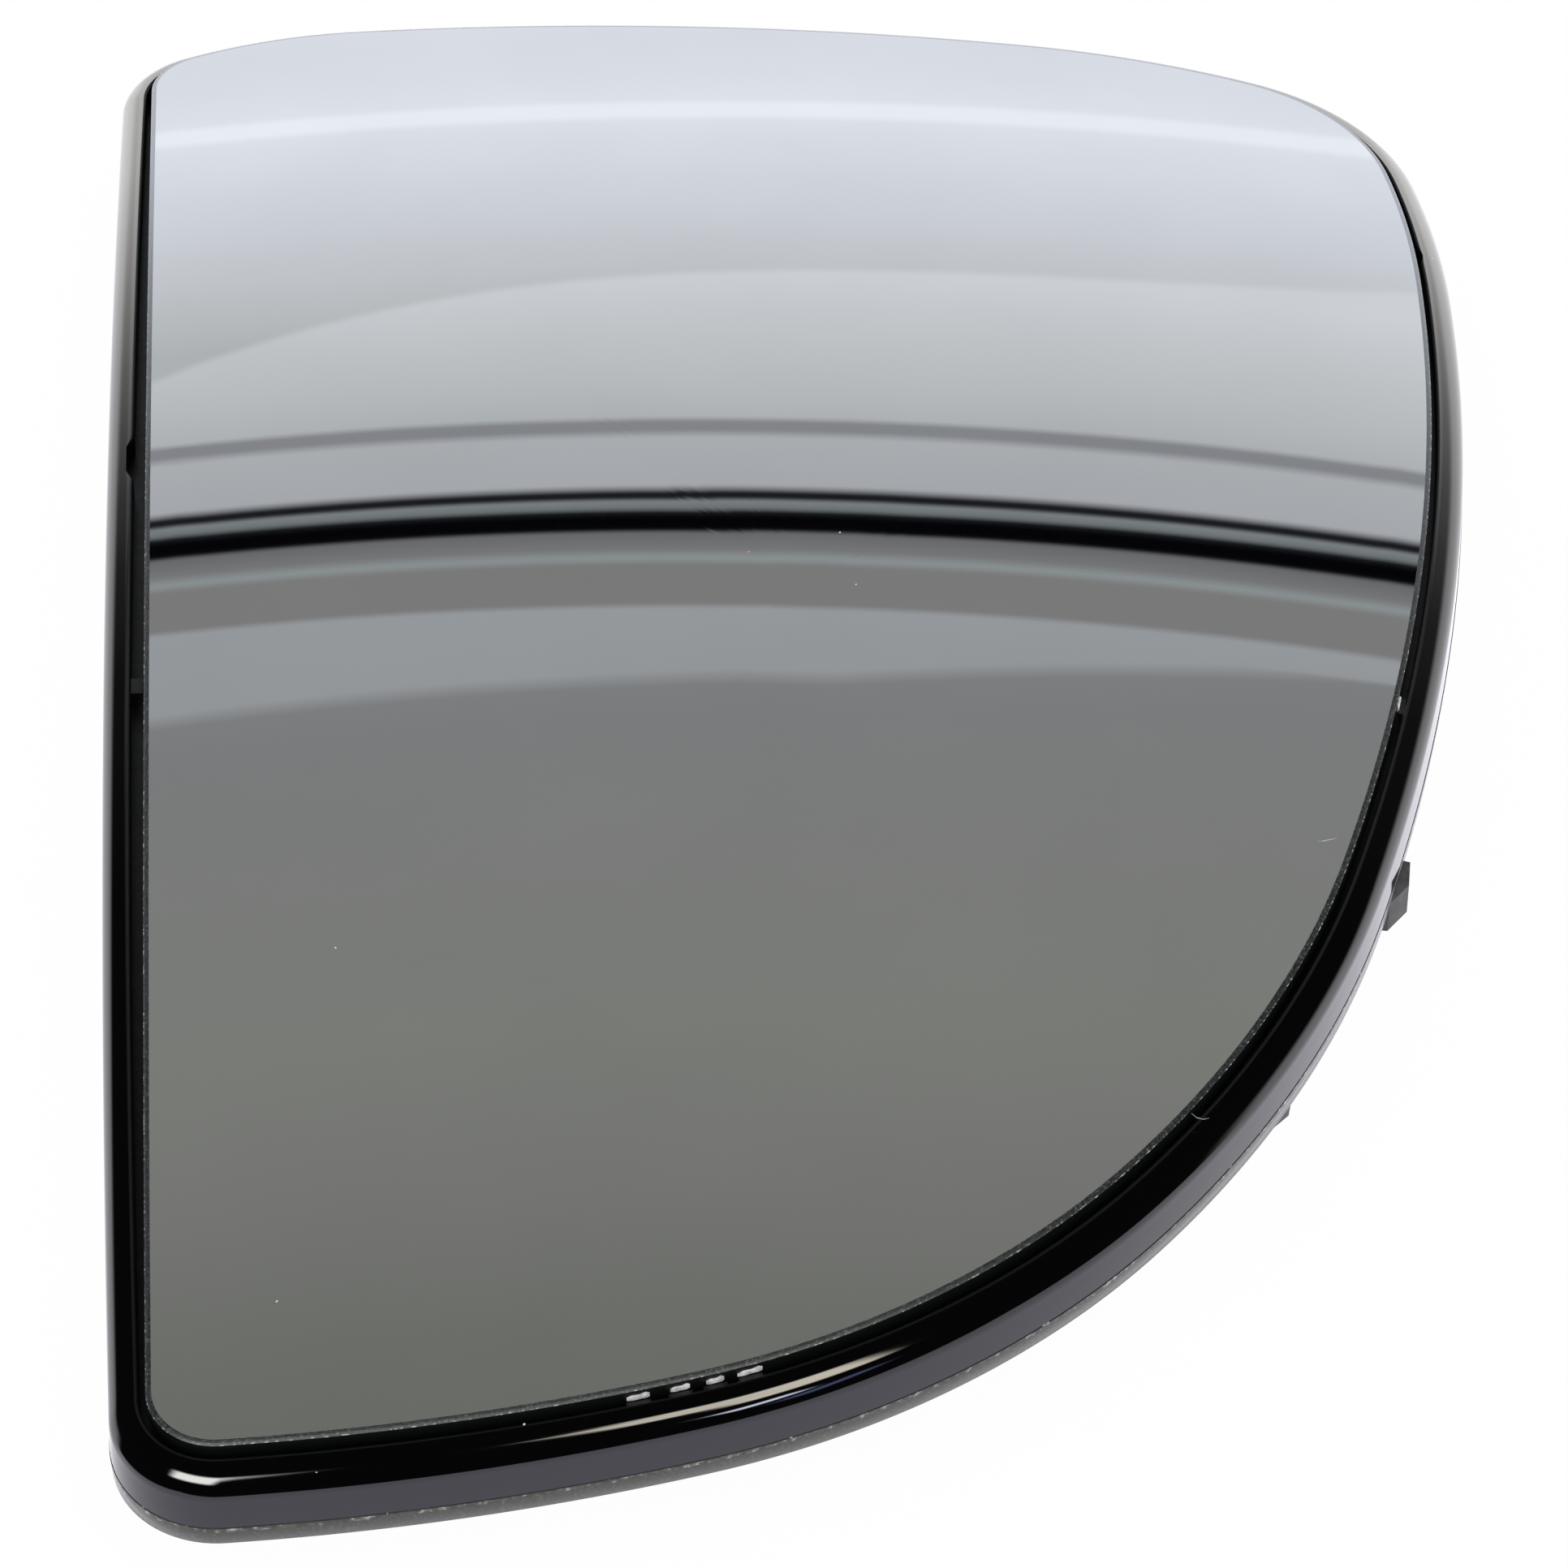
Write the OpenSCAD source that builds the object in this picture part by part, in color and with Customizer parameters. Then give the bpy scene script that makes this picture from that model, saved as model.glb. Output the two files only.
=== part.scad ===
// Door mirror glass on its moulded holder, lying on its back with the glass up
// X runs across the glass, Y along it, Z out of the face
// Z is 0 on the seat of the actuator ring, and X and Y are 0 on the ring's axis

/* [Glass] */
// Length of the glass along Y
glass_len = 190; // [150:1:230]
// Thickness of the glass
glass_t = 2; // [1.6:0.1:3]
// Radius that the convex face is ground to
glass_radius = 1200; // [900:50:2000]
// Height of the face's crown above the ring's seat
face_h = 17; // [15.5:0.5:24]
// Width of the seamed edge, seen from the front
seam_w = 0.42; // [0.2:0.02:0.8]
// Fall of the seamed edge over that width
seam_d = 0.18; // [0.1:0.02:0.4]

/* [Adhesive pad] */
// Thickness of the foam pad
pad_t = 1; // [0.5:0.1:1.5]
// Distance of the pad's edge inside the glass's edge
pad_in = 3; // [1.5:0.5:8]

/* [Holder rim] */
// Gap between the glass's edge and the rim's inner wall
gap = 0.6; // [0.4:0.05:1]
// Radius of the holder's long side, which bows out past the straight glass
side_bow_r = 4700; // [3000:10:8000]
// Fall from the face's edge to the top of the bead
bead_drop = 1; // [0.8:0.05:1.4]
// Radius of the bead's round outer shoulder
bead_r = 2.3; // [2:0.05:2.6]
// Radius of the bead's inner edge
bead_in_r = 0.3; // [0.2:0.05:0.4]
// Fall from the face's edge to the mould parting line
part_drop = 6.1; // [5.4:0.1:6.4]
// Fall from the face's edge to the rim's lower edge
rim_drop = 8.2; // [7.7:0.1:8.7]
// How far the wall leans out between the bead and the parting line
wall_lean = 0.1; // [0:0.05:0.5]
// How far the lip under the parting line stands out
lip_out = 0.04; // [0.02:0.02:0.2]
// Depth of the groove at the parting line
part_groove = 0.12; // [0.05:0.01:0.2]
// Thickness of the skirt behind the bead
skirt_t = 1.6; // [1.2:0.1:2]

/* [Holder back] */
// Thickness of the holder's plate
plate_t = 1.8; // [1.4:0.1:2.4]
// Thickness of the ribs
rib_t = 1.4; // [1:0.1:2]
// Depth of the ribs below the plate
rib_h = 3; // [2:0.25:3.5]
// Mid radius of the round rib
rib_ring_r = 50; // [46:0.5:51]
// Inner radius of the actuator ring
ring_r = 35.5; // [30:0.5:38]
// Wall thickness of the actuator ring
ring_t = 2.4; // [2:0.1:3]
// Number of clip fingers in the ring
fingers = 6; // [3:1:8]
// Width of a clip finger along the ring
finger_w = 14; // [8:1:18]
// Width of the slots beside a finger
slot_w = 1.6; // [1.2:0.1:2.5]
// Depth of the slots from the ring's seat
slot_h = 9; // [6:0.5:10]
// How far the hooks reach in from the ring
hook_in = 1.1; // [0.8:0.1:1.6]

/* [Feet and nibs] */
// Length of a foot along the rim
foot_l = 5.6; // [4:0.2:8]
// Thickness of a foot
foot_t = 3.2; // [2.5:0.1:4]
// Height of the first foot's end above the ring's seat
foot_z = 4; // [3:0.1:5]
// Length of a locating nib along the edge
nib_l = 2; // [1:0.1:3]
// Clearance between a nib and the glass's edge
nib_gap = 0.15; // [0.05:0.05:0.3]

/* [Hidden] */
$fa = 3;
$fs = 0.6;

// Outline of the 190 mm glass from its far left corner, down the straight side and round:
// turn in degrees, radius in mm and number of steps of each arc
edge_arcs = [
    [0.4, 25200, 10], [88.8, 6, 9], [12.5, 177, 6], [33.7, 71.5, 10],
    [23.3, 101.5, 8], [18.2, 265, 10], [10.4, 101.5, 4], [56.2, 21.5, 10],
    [14.2, 92.5, 5], [10.7, 362, 7], [21.9, 44, 5], [69.7, 6, 8]];
edge_start = [-60.13, 86.8];
edge_dir = 179.8;
// The two arcs whose radii are worked out so that the outline closes
close_a = 5;
close_b = 9;

// Nibs in the gap: arc number and the share of its length
nibs = [[2, 0.8645], [2, 0.9535], [3, 0.0255], [3, 0.095], [5, 0.262]];
left_nib = [0, 0.525];
// Nicks in the rim's inner edge: arc number, share, length and depth
nicks = [[0, 0.3415, 4.8, 0.7], [6, 0.302, 0.6, 0.4]];
// Feet under the rim: x and y of the outer face, the way it looks and how much higher it ends
feet = [[49.77, -30.55, -10, 0], [36.05, -56.69, -14.9, 1.75]];
// Straight ribs run from the ring to these steps of the outline
rib_steps = [4, 10, 16, 26, 38, 50, 63, 74, 83];

k = glass_len / 190;
arc_n = len(edge_arcs);
ball_z = face_h - glass_radius;
floor_v = glass_t + pad_t;
under_v = floor_v + plate_t;
mid_v = floor_v + plate_t / 2;
seam_back = 0.15;
bead_c = [gap + bead_in_r, -bead_drop - bead_r];
wall_u = bead_c.x + bead_r;
foot_u = wall_u + wall_lean;
lip_u = foot_u + lip_out;

// The outline's arcs, with the long side given its own radius and its turn taken from both corners
function side_turn(side_r) = edge_arcs[0][0] * edge_arcs[0][1] / side_r;
function side_give(side_r) = (side_turn(side_r) - edge_arcs[0][0]) / 2;
function turns(side_r) = [for (i = [0:arc_n - 1])
    i == 0 ? side_turn(side_r)
    : i == 1 || i == arc_n - 1 ? edge_arcs[i][0] - side_give(side_r)
    : edge_arcs[i][0]];
function sum_to(list, n) = n <= 0 ? 0 : list[n - 1] + sum_to(list, n - 1);
function normal_at(i, side_r) = edge_dir - side_give(side_r) + sum_to(turns(side_r), i);
function way(a) = [cos(a), sin(a)];
function step(i, side_r) = way(normal_at(i + 1, side_r)) - way(normal_at(i, side_r));
function known_r(i, side_r) = i == 0 ? side_r : i == close_a || i == close_b ? 0 : edge_arcs[i][1];
function left_over(side_r) = [
    for (c = [0, 1]) -sum_to([for (i = [0:arc_n - 1]) known_r(i, side_r) * step(i, side_r)[c]], arc_n)];
function solve(a, b, w) = [
    (w.x * b.y - w.y * b.x) / (a.x * b.y - a.y * b.x),
    (a.x * w.y - a.y * w.x) / (a.x * b.y - a.y * b.x)];
function closing(side_r) = solve(step(close_a, side_r), step(close_b, side_r), left_over(side_r));
function radius(i, side_r) =
    i == close_a ? closing(side_r).x : i == close_b ? closing(side_r).y : known_r(i, side_r);
function joint(i, side_r) =
    i == 0 ? edge_start : joint(i - 1, side_r) + radius(i - 1, side_r) * step(i - 1, side_r);

// Each arc as [centre, radius, first normal, turn] at the size asked for
function arcs(side_r) = [for (i = [0:arc_n - 1])
    let (r = radius(i, side_r), a = normal_at(i, side_r), j = joint(i, side_r))
    [k * (j - r * way(a)), k * r, a, turns(side_r)[i]]];
// Steps round an outline as [x, y, normal]
function spot(arc, t) = let (a = arc[2] + t * arc[3], p = arc[0] + arc[1] * way(a)) [p.x, p.y, a];
function steps(arcs) = [for (i = [0:arc_n - 1])
    for (j = [0:edge_arcs[i][2] - 1]) spot(arcs[i], j / edge_arcs[i][2])];
glass_arcs = arcs(edge_arcs[0][1]);
rim_arcs = arcs(side_bow_r);
glass_steps = steps(glass_arcs);
rim_steps = steps(rim_arcs);
step_n = len(glass_steps);

// The flat outline is wrapped on the ball that the face is ground to
// A row is [outline, share of the way from the middle, distance out of the outline, height off the face,
// straight fall from there along the mould's draw]
function on_ball(p, v) = let (d = norm(p), a = 2 * atan(d / (2 * glass_radius)), r = glass_radius + v)
    [r * sin(a) * p.x / max(d, 0.0001), r * sin(a) * p.y / max(d, 0.0001), ball_z + r * cos(a)];
function row_point(row, i) =
    on_ball(row[1] * ([row[0][i].x, row[0][i].y] + row[2] * way(row[0][i][2])), row[3]) - [0, 0, row[4]];
function height_at(d, v) = on_ball([d, 0], v).z;

// Solid between the middle of the first row and the middle of the last one
// Rows before turn_row run outwards and the others inwards
module wrapped(rows, turn_row) {
    n = step_n;
    last = len(rows) - 1;
    points = concat(
        [for (row = rows) for (i = [0:n - 1]) row_point(row, i)],
        [on_ball([0, 0], rows[0][3]), on_ball([0, 0], rows[last][3])]);
    faces = concat(
        [for (j = [0:last - 1]) for (i = [0:n - 1])
            let (m = (i + 1) % n, a = j * n + i, b = j * n + m, c = (j + 1) * n + m)
            j < turn_row ? [a, b, c] : [a, b, (j + 1) * n + i]],
        [for (j = [0:last - 1]) for (i = [0:n - 1])
            let (m = (i + 1) % n, a = j * n + i, b = j * n + m, c = (j + 1) * n + m, d = (j + 1) * n + i)
            j < turn_row ? [a, c, d] : [b, c, d]],
        [for (i = [0:n - 1]) [(last + 1) * n, (i + 1) % n, i]],
        [for (i = [0:n - 1]) [(last + 1) * n + 1, last * n + i, last * n + (i + 1) % n]]);
    polyhedron(points = points, faces = faces);
}

// Rows of the pad's outline at a depth, from the middle outwards
function pad_rows(v) = [for (s = [1, 2, 3]) [glass_steps, s / 3, -pad_in, -v, 0]];
function back(rows) = [for (i = [len(rows) - 1:-1:0]) rows[i]];

module mirror_glass() {
    color([0.62, 0.66, 0.7])
        wrapped(concat(
            pad_rows(0),
            [[glass_steps, 1, -seam_w, 0, 0]],
            [[glass_steps, 1, 0, -seam_d, 0]],
            [[glass_steps, 1, 0, -glass_t + seam_back, 0]],
            [[glass_steps, 1, -seam_back, -glass_t, 0]],
            back(pad_rows(glass_t))), 5);
}

module adhesive_pad() {
    color([0.16, 0.16, 0.17])
        wrapped(concat(pad_rows(glass_t), back(pad_rows(floor_v))), 3);
}

// Section of the rim outside the pocket: inner round, bead, wall, parting groove, lip and skirt
rim_section = concat(
    [[gap, -floor_v]],
    [for (a = [180:-30:90]) bead_in_r * way(a) + [bead_c.x, -bead_drop - bead_in_r]],
    [for (a = [81:-9:0]) bead_r * way(a) + bead_c],
    [[foot_u, -part_drop]],
    [[foot_u - part_groove, -part_drop - part_groove / 2]],
    [[lip_u, -part_drop - part_groove]],
    [[lip_u, -part_drop - 4 * part_groove]],
    [[lip_u - 2 * lip_out, -rim_drop + 2 * part_groove]],
    [[lip_u - 2 * lip_out - part_groove, -rim_drop + part_groove / 2]],
    [[lip_u - 2 * lip_out - 3 * part_groove, -rim_drop]],
    [[foot_u - skirt_t, -rim_drop]],
    [[wall_u - skirt_t, -under_v]]);

module tray() {
    wrapped(concat(
        pad_rows(floor_v),
        [for (p = rim_section) [rim_steps, 1, p.x, -bead_drop, -bead_drop - p.y]],
        back(pad_rows(under_v))), 18);
}

// Ring that clips over the actuator's head, with slots beside its fingers
module actuator_ring() {
    difference() {
        cylinder(r = ring_r + ring_t, h = height_at(ring_r + ring_t, -mid_v), $fn = 144);
        translate([0, 0, -1])
            cylinder(r = ring_r, h = face_h, $fn = 144);
        for (i = [0:fingers - 1])
            rotate(i * 360 / fingers)
                for (s = [-1, 1])
                    translate([ring_r - 2, s * (finger_w + slot_w) / 2 - slot_w / 2, -1])
                        cube([ring_t + 4, slot_w, slot_h + 1]);
    }
}

module hooks() {
    hook_turn = 2 * asin((finger_w / 2 - 0.4) / ring_r);
    for (i = [0:fingers - 1])
        rotate(i * 360 / fingers - hook_turn / 2)
            rotate_extrude(angle = hook_turn, $fn = 144)
                polygon([
                    [ring_r - hook_in, 1.4],
                    [ring_r + ring_t / 3, 0.3],
                    [ring_r + ring_t / 3, 3.4],
                    [ring_r, 3.4],
                    [ring_r - hook_in, 2.6]]);
}

// Ribs have straight tops that stay inside the thickness of the plate
module ribs() {
    rotate_extrude($fn = 144)
        translate([rib_ring_r - rib_t / 2, height_at(rib_ring_r, -under_v - rib_h)])
            square([rib_t, rib_h + plate_t / 2]);
    for (i = rib_steps) {
        p = rim_steps[i];
        end = [p.x, p.y] + (wall_u - skirt_t / 2) * way(p[2]);
        r0 = ring_r + ring_t / 2;
        r1 = norm(end);
        rotate([90, 0, atan2(end.y, end.x)])
            translate([0, 0, -rib_t / 2])
                linear_extrude(height = rib_t)
                    polygon([
                        [r0, height_at(r0, -mid_v)],
                        [r0, height_at(r0, -under_v - rib_h)],
                        [r1, height_at(r1, -under_v - rib_h + 0.6)],
                        [r1, height_at(r1, -mid_v)]]);
    }
}

// Foot moulded under the lip, with its outer corner taken off
module foot(low, top) {
    linear_extrude(height = top - low)
        polygon([
            [0, foot_l * 0.27],
            [0, -foot_l * 0.26],
            [-foot_t / 2, -foot_l * 0.73],
            [-foot_t, -foot_l * 0.73],
            [-foot_t, foot_l * 0.27]]);
}

// Block that stands in the gap at a share of an arc, from inner to outer distance out of the glass
module gap_block(place, inner, outer, length, top) {
    p = spot(rim_arcs[place[0]], place[1]);
    z = height_at(norm([p.x, p.y]), 0);
    translate([p.x, p.y, z - floor_v])
        rotate(p[2])
            translate([inner, -length / 2, -0.3])
                cube([outer - inner, length, floor_v + 0.3 - top]);
}

module holder() {
    color([0.09, 0.09, 0.1])
        difference() {
            union() {
                tray();
                union() {
                    actuator_ring();
                    hooks();
                    ribs();
                }
                union() {
                    for (place = nibs)
                        gap_block(place, nib_gap, gap + 0.5, nib_l, bead_drop + 0.5);
                    gap_block(left_nib, nib_gap - 0.7, gap + 0.5, nib_l, bead_drop + 0.5);
                }
                union() {
                    for (f = feet)
                        translate([k * f.x, k * f.y, foot_z + f[3]])
                            rotate(f.z)
                                foot(foot_z + f[3], height_at(k * norm([f.x, f.y]), 0.6 - rim_drop));
                }
            }
            union() {
                for (n = nicks)
                    gap_block(n, gap - 0.5, gap + n[3], n[2], 0);
            }
        }
}

mirror_glass();
adhesive_pad();
holder();
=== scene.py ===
import math
import bpy
import numpy as np
from mathutils import Matrix, Vector


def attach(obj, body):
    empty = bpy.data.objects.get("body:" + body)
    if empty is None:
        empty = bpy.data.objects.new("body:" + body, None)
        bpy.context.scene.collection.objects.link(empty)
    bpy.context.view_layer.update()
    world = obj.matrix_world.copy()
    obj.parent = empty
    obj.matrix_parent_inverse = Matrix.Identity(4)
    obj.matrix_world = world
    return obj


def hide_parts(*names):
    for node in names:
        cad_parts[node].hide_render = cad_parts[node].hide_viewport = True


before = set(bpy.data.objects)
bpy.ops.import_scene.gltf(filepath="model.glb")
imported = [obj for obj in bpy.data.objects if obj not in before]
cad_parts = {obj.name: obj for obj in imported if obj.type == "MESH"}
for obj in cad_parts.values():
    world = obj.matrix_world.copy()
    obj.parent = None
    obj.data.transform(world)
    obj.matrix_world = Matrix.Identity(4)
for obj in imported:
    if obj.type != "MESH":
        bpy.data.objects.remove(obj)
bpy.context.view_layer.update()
scene = bpy.context.scene
MM = 0.001

# Sizes in mm, as in the part's source
GLASS_T = 2.0
BALL_R = 1200.0
FACE_H = 17.0
SEAM_W = 0.42
SEAM_D = 0.18
PAD_T = 1.0
PAD_IN = 3.0
GAP = 0.6
SIDE_BOW_R = 4700.0
BEAD_DROP = 1.0
BEAD_R = 2.3
BEAD_IN_R = 0.3
PART_DROP = 6.1
RIM_DROP = 8.2
WALL_LEAN = 0.1
LIP_OUT = 0.04
GROOVE = 0.12
SKIRT_T = 1.6
PLATE_T = 1.8
RIB_T = 1.4
RIB_H = 3.0
RIB_RING_R = 50.0
RING_R = 35.5
RING_T = 2.4
FINGERS = 6
FINGER_W = 14.0
SLOT_W = 1.6
SLOT_H = 9.0
HOOK_IN = 1.1
FOOT_L = 5.6
FOOT_T = 3.2
FOOT_Z = 4.0
NIB_L = 2.0
NIB_GAP = 0.15

ARCS = [
    (0.4, 25200), (88.8, 6), (12.5, 177), (33.7, 71.5), (23.3, 101.5), (18.2, 265),
    (10.4, 101.5), (56.2, 21.5), (14.2, 92.5), (10.7, 362), (21.9, 44), (69.7, 6)]
START = np.array([-60.13, 86.8])
START_DIR = 179.8
CLOSE = (5, 9)
NIBS = [(2, 0.8645), (2, 0.9535), (3, 0.0255), (3, 0.095), (5, 0.262)]
LEFT_NIB = (0, 0.525)
# Half length and width of the white bits on the nibs, painted glints of light on the nibs' tops
NIB_GLINTS = [(0.98, 0.2), (0.84, 0.17), (0.76, 0.24), (1.1, 0.14), (0.8, 0.26)]
NICKS = [(0, 0.3415, 4.8, 0.7), (6, 0.302, 0.6, 0.4)]
FEET = [(49.77, -30.55, -10, 0), (36.05, -56.69, -14.9, 1.75)]
RIB_ENDS = [
    (0, 0.4), (1, 0.0), (2, 0.167), (3, 0.1), (4, 0.375), (5, 0.7), (7, 0.3), (9, 0.29), (10, 0.8)]

BALL_Z = FACE_H - BALL_R
FLOOR_V = GLASS_T + PAD_T
UNDER_V = FLOOR_V + PLATE_T
MID_V = FLOOR_V + PLATE_T / 2
BEAD_C = np.array([GAP + BEAD_IN_R, -BEAD_DROP - BEAD_R])
WALL_U = BEAD_C[0] + BEAD_R
FOOT_U = WALL_U + WALL_LEAN
LIP_U = FOOT_U + LIP_OUT


# Outline

def way(a):
    a = np.radians(a)
    return np.array([np.cos(a), np.sin(a)])


def arc_chain(side_r):
    """The closed outline as [centre, radius, first normal, turn] per arc."""
    turn0 = ARCS[0][0] * ARCS[0][1] / side_r
    give = (turn0 - ARCS[0][0]) / 2
    turns = [t for t, _ in ARCS]
    turns[0] = turn0
    turns[1] -= give
    turns[-1] -= give
    radii = [r for _, r in ARCS]
    radii[0] = side_r
    normals = START_DIR - give + np.concatenate([[0], np.cumsum(turns)])
    steps = [way(b) - way(a) for a, b in zip(normals[:-1], normals[1:])]
    left = -sum(r * s for i, (r, s) in enumerate(zip(radii, steps)) if i not in CLOSE)
    radii[CLOSE[0]], radii[CLOSE[1]] = np.linalg.solve(
        np.array([steps[CLOSE[0]], steps[CLOSE[1]]]).T, left)
    out = []
    joint = START.copy()
    for r, s, a, t in zip(radii, steps, normals, turns):
        out.append((joint - r * way(a), r, a, t))
        joint = joint + r * s
    return out


def spot(arc, t):
    a = arc[2] + t * arc[3]
    p = arc[0] + arc[1] * way(a)
    return p[0], p[1], a


def stations(arcs):
    """Points all round an outline as rows of x, y and normal angle, the same number on every outline."""
    rows = []
    for (turn, r), arc in zip(ARCS, arcs):
        n = max(math.ceil(math.radians(turn) * r / 1.2), math.ceil(turn / 4))
        rows += [spot(arc, j / n) for j in range(n)]
    return np.array(rows)


GLASS_ARCS = arc_chain(ARCS[0][1])
RIM_ARCS = arc_chain(SIDE_BOW_R)
GLASS_LINE = stations(GLASS_ARCS)
RIM_LINE = stations(RIM_ARCS)


def on_ball(p, v):
    """Flat points wrapped on the ball of the face, v above it, in mm."""
    p = np.atleast_2d(p)
    d = np.maximum(np.linalg.norm(p, axis=1), 1e-9)
    a = 2 * np.arctan(d / (2 * BALL_R))
    r = BALL_R + v
    flat = (r * np.sin(a) / d).reshape(-1, 1) * p
    return np.column_stack([flat, np.zeros(len(p)) + BALL_Z + r * np.cos(a)])


def height_at(d, v):
    return on_ball([d, 0], v)[0, 2]


def ring_of(line, share, u, v):
    n = np.radians(line[:, 2])
    out = line[:, :2] + np.column_stack([np.cos(n), np.sin(n)]) * np.asarray(u).reshape(-1, 1)
    return on_ball(share * out, v)


# Mesh building

def add_mesh(name, verts, faces, sharp):
    me = bpy.data.meshes.new(name)
    me.from_pydata((np.asarray(verts) * MM).tolist(), [], faces)
    me.validate()
    me.polygons.foreach_set("use_smooth", [True] * len(me.polygons))
    me.set_sharp_from_angle(angle=math.radians(sharp))
    me.update()
    obj = bpy.data.objects.new(name, me)
    scene.collection.objects.link(obj)
    return obj


def wrapped(rings):
    """A closed skin through rings of points, with a middle point at both ends."""
    n = len(rings[0])
    verts = np.concatenate(rings + [rings[0].mean(axis=0)[None], rings[-1].mean(axis=0)[None]])
    i = np.arange(n)
    m = (i + 1) % n
    faces = []
    for j in range(len(rings) - 1):
        a, b = j * n, (j + 1) * n
        faces += np.column_stack([a + i, b + i, b + m, a + m]).tolist()
    top = len(rings) * n
    last = (len(rings) - 1) * n
    faces += np.column_stack([np.full(n, top), i, m]).tolist()
    faces += np.column_stack([np.full(n, top + 1), last + m, last + i]).tolist()
    return verts, faces


def middle_rings(line, u, v, shares):
    return [ring_of(line, s, u, v) for s in shares]


class Bits:
    """Several closed bodies gathered in one mesh."""

    def __init__(self):
        self.verts = []
        self.faces = []
        self.count = 0

    def add(self, verts, faces):
        self.verts.append(np.asarray(verts, float))
        self.faces += [[k + self.count for k in f] for f in faces]
        self.count += len(verts)

    def loft(self, rows, closed=False):
        """Rows of the same number of points joined to each other, each row a closed section."""
        n = len(rows[0])
        faces = []
        last = len(rows) if closed else len(rows) - 1
        for j in range(last):
            a, b = j * n, (j + 1) % len(rows) * n
            faces += [[a + i, a + (i + 1) % n, b + (i + 1) % n, b + i] for i in range(n)]
        if not closed:
            faces += [list(range(n))[::-1], [(len(rows) - 1) * n + i for i in range(n)]]
        self.add(np.concatenate(rows), faces)

    def turned(self, section, a0, a1, steps):
        """A section of (radius, height) points turned about Z from one angle to another, in degrees."""
        full = abs(a1 - a0) >= 360
        rows = []
        for a in np.linspace(a0, a1, steps + 1)[:steps if full else steps + 1]:
            c = way(a)
            rows.append(np.array([[r * c[0], r * c[1], z] for r, z in section]))
        self.loft(rows, closed=full)

    def prism(self, outline, z0, z1):
        rows = [np.array([[x, y, z] for x, y in outline]) for z in (z0, z1)]
        self.loft(rows)

    def mesh(self, name, sharp):
        return add_mesh(name, np.concatenate(self.verts), self.faces, sharp)


def ring_section(r0, r1, z0, z1):
    return [(r0, z0), (r1, z0), (r1, z1), (r0, z1)]


# Glass, with the silvered face and the seamed edge

shares = np.linspace(0.04, 1, 26)
edge = [
    (-SEAM_W - 0.6, 0.0), (-SEAM_W - 0.07, 0.0), (-SEAM_W, -0.004), (-SEAM_W * 0.5, -SEAM_D * 0.42),
    (-0.07, -SEAM_D * 0.9), (0.0, -SEAM_D - 0.03), (0.0, -GLASS_T + 0.15), (-0.15, -GLASS_T)]
rings = middle_rings(GLASS_LINE, -PAD_IN, 0, shares)
face_rings = len(rings) + 2
rings += [ring_of(GLASS_LINE, 1, u, v) for u, v in edge]
rings += middle_rings(GLASS_LINE, -PAD_IN, -GLASS_T, shares[::-5])
verts, faces = wrapped(rings)
glass = add_mesh("mirror_pane", verts, faces, 12)
ring_n = len(GLASS_LINE)
# Bands of the skin from the middle out: face, its dark rim line, ground strip, arris with painted glints,
# side and back
kind = np.full(len(glass.data.polygons), 4, dtype=np.int32)
for band, upto in ((3, face_rings + 3), (2, face_rings + 2), (1, face_rings), (0, face_rings - 1)):
    kind[:upto * ring_n] = band
kind[(len(rings) - 1) * ring_n:len(rings) * ring_n] = 0
loop_normals = np.zeros((len(glass.data.loops), 3))
centre = np.array([0, 0, BALL_Z]) * MM
for poly in glass.data.polygons:
    if kind[poly.index] == 0:
        for li in poly.loop_indices:
            to = np.array(glass.data.vertices[glass.data.loops[li].vertex_index].co) - centre
            loop_normals[li] = to / np.linalg.norm(to)
glass.data.normals_split_custom_set(loop_normals.tolist())
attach(glass, "root")
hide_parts("mirror_glass")

# Rim and plate of the holder, with the nicks in its inner edge

depth = np.zeros(len(RIM_LINE))
for arc_i, share, length, deep in NICKS:
    x, y, a = spot(RIM_ARCS[arc_i], share)
    away = RIM_LINE[:, :2] - (x, y)
    near = np.linalg.norm(away, axis=1) < length
    depth = np.maximum(depth, np.where(near & (np.abs(away @ way(a + 90)) <= length / 2 + 0.1), deep, 0))


def rim_ring(u, v):
    """A ring of the rim's section, pushed out where a nick is cut in its inner edge."""
    cut_u = GAP + depth
    cut_v = BEAD_C[1] + np.sqrt(BEAD_R ** 2 - np.clip(cut_u - BEAD_C[0], 0, None) ** 2)
    pushed = (depth > 0) & (u < cut_u)
    uu = np.where(pushed, cut_u, u)
    vv = np.where(pushed, np.minimum(v, cut_v), v)
    n = np.radians(RIM_LINE[:, 2])
    flat = RIM_LINE[:, :2] + np.column_stack([np.cos(n), np.sin(n)]) * uu[:, None]
    out = on_ball(flat, -BEAD_DROP)
    out[:, 2] -= -BEAD_DROP - vv
    return out


# The section in the order of the skin: side of the gap, bead, wall, groove of the parting line, lip, under
GAP_FOOT = -2.2
BEAD_STEP = 3
WALL_FROM = 15
gap_side = [(GAP, -FLOOR_V), (GAP, GAP_FOOT)]
gap_side += [tuple(BEAD_IN_R * way(a) + [BEAD_C[0], -BEAD_DROP - BEAD_IN_R]) for a in range(180, 90, -15)]
bead = [tuple(BEAD_R * way(a) + BEAD_C) for a in np.arange(90, -1, -BEAD_STEP)]
lean = [
    (WALL_U + WALL_LEAN * 0.33, BEAD_C[1] - 0.8), (WALL_U + WALL_LEAN * 0.66, BEAD_C[1] - 1.6),
    (FOOT_U, -PART_DROP)]
groove = [(FOOT_U - GROOVE, -PART_DROP - GROOVE / 2)]
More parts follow.
